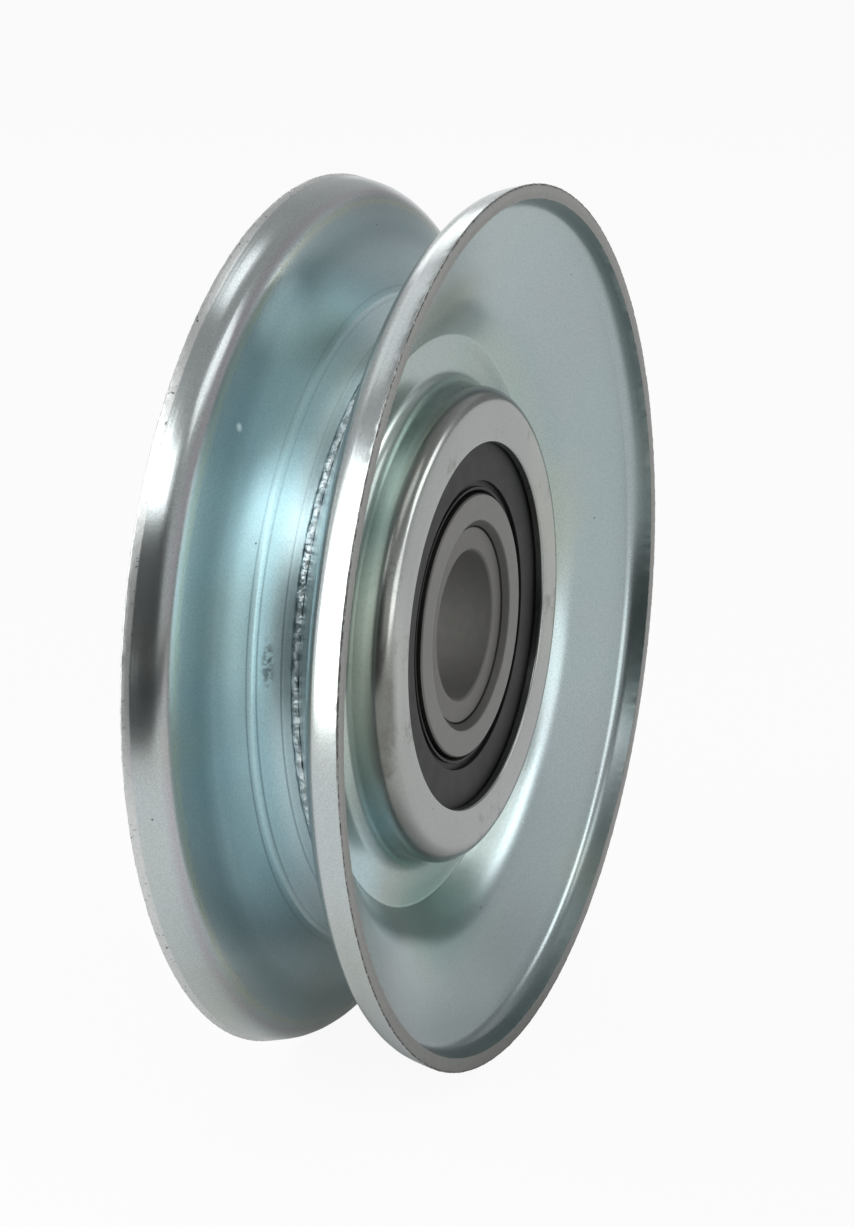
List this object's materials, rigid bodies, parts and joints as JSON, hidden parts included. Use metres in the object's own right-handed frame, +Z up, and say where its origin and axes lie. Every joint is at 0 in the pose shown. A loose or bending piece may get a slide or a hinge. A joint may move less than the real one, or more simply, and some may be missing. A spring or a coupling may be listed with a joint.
{
  "type": "grooved pulley",
  "caption": "Pressed steel grooved belt pulley with turned lips and a raised hub, turning on a sealed ball bearing with a reducing sleeve for a bolt.",
  "frame": {"origin": "centre of the wheel, on the bearing axis at the seam of the two pressings", "axes": "+Y along the bearing axis from the front face to the rear face, +Z up, the wheel standing upright"},
  "size_m": [0.084, 0.0202, 0.084],
  "materials": {
    "zinc_plate": "blue passivated zinc plating, satin",
    "bearing_steel": "ground, satin",
    "sleeve_steel": "turned, matt",
    "cage_steel": "pressed, satin",
    "ball_steel": "polished",
    "seal_rubber": "matt black"
  },
  "bodies": {
    "bearing_core": {"inner_race": "bearing_steel", "sleeve": "sleeve_steel"},
    "sheave": {"front_half": "zinc_plate", "rear_half": "zinc_plate", "outer_race": "bearing_steel", "front_seal": "seal_rubber", "rear_seal": "seal_rubber"},
    "cage": {"cage_front": "cage_steel", "cage_rear": "cage_steel", "cage_rivets": "cage_steel"},
    "ball_1": {"ball_1": "ball_steel"},
    "ball_2": {"ball_2": "ball_steel"},
    "ball_3": {"ball_3": "ball_steel"},
    "ball_4": {"ball_4": "ball_steel"},
    "ball_5": {"ball_5": "ball_steel"},
    "ball_6": {"ball_6": "ball_steel"},
    "ball_7": {"ball_7": "ball_steel"},
    "ball_8": {"ball_8": "ball_steel"}
  },
  "joints": [
    {"name": "pulley_spin", "type": "hinge", "parent": "bearing_core", "child": "sheave", "pos_m": [0, 0, 0], "axis": [0, 1, 0], "continuous": true},
    {"name": "cage_orbit", "type": "hinge", "parent": "bearing_core", "child": "cage", "pos_m": [0, 0, 0], "axis": [0, 1, 0], "continuous": true},
    {"name": "ball_1_roll", "type": "hinge", "parent": "cage", "child": "ball_1", "pos_m": [0.01508, 0, 0], "axis": [0, 1, 0], "continuous": true},
    {"name": "ball_2_roll", "type": "hinge", "parent": "cage", "child": "ball_2", "pos_m": [0.01066, 0, 0.01066], "axis": [0, 1, 0], "continuous": true},
    {"name": "ball_3_roll", "type": "hinge", "parent": "cage", "child": "ball_3", "pos_m": [0, 0, 0.01508], "axis": [0, 1, 0], "continuous": true},
    {"name": "ball_4_roll", "type": "hinge", "parent": "cage", "child": "ball_4", "pos_m": [-0.01066, 0, 0.01066], "axis": [0, 1, 0], "continuous": true},
    {"name": "ball_5_roll", "type": "hinge", "parent": "cage", "child": "ball_5", "pos_m": [-0.01508, 0, 0], "axis": [0, 1, 0], "continuous": true},
    {"name": "ball_6_roll", "type": "hinge", "parent": "cage", "child": "ball_6", "pos_m": [-0.01066, 0, -0.01066], "axis": [0, 1, 0], "continuous": true},
    {"name": "ball_7_roll", "type": "hinge", "parent": "cage", "child": "ball_7", "pos_m": [0, 0, -0.01508], "axis": [0, 1, 0], "continuous": true},
    {"name": "ball_8_roll", "type": "hinge", "parent": "cage", "child": "ball_8", "pos_m": [0.01066, 0, -0.01066], "axis": [0, 1, 0], "continuous": true}
  ],
  "couplings": [
    {"joint": "cage_orbit", "follows": "pulley_spin", "ratio": 0.61843},
    {"joint": "ball_1_roll", "follows": "pulley_spin", "ratio": 1.9926},
    {"joint": "ball_2_roll", "follows": "pulley_spin", "ratio": 1.9926},
    {"joint": "ball_3_roll", "follows": "pulley_spin", "ratio": 1.9926},
    {"joint": "ball_4_roll", "follows": "pulley_spin", "ratio": 1.9926},
    {"joint": "ball_5_roll", "follows": "pulley_spin", "ratio": 1.9926},
    {"joint": "ball_6_roll", "follows": "pulley_spin", "ratio": 1.9926},
    {"joint": "ball_7_roll", "follows": "pulley_spin", "ratio": 1.9926},
    {"joint": "ball_8_roll", "follows": "pulley_spin", "ratio": 1.9926}
  ]
}
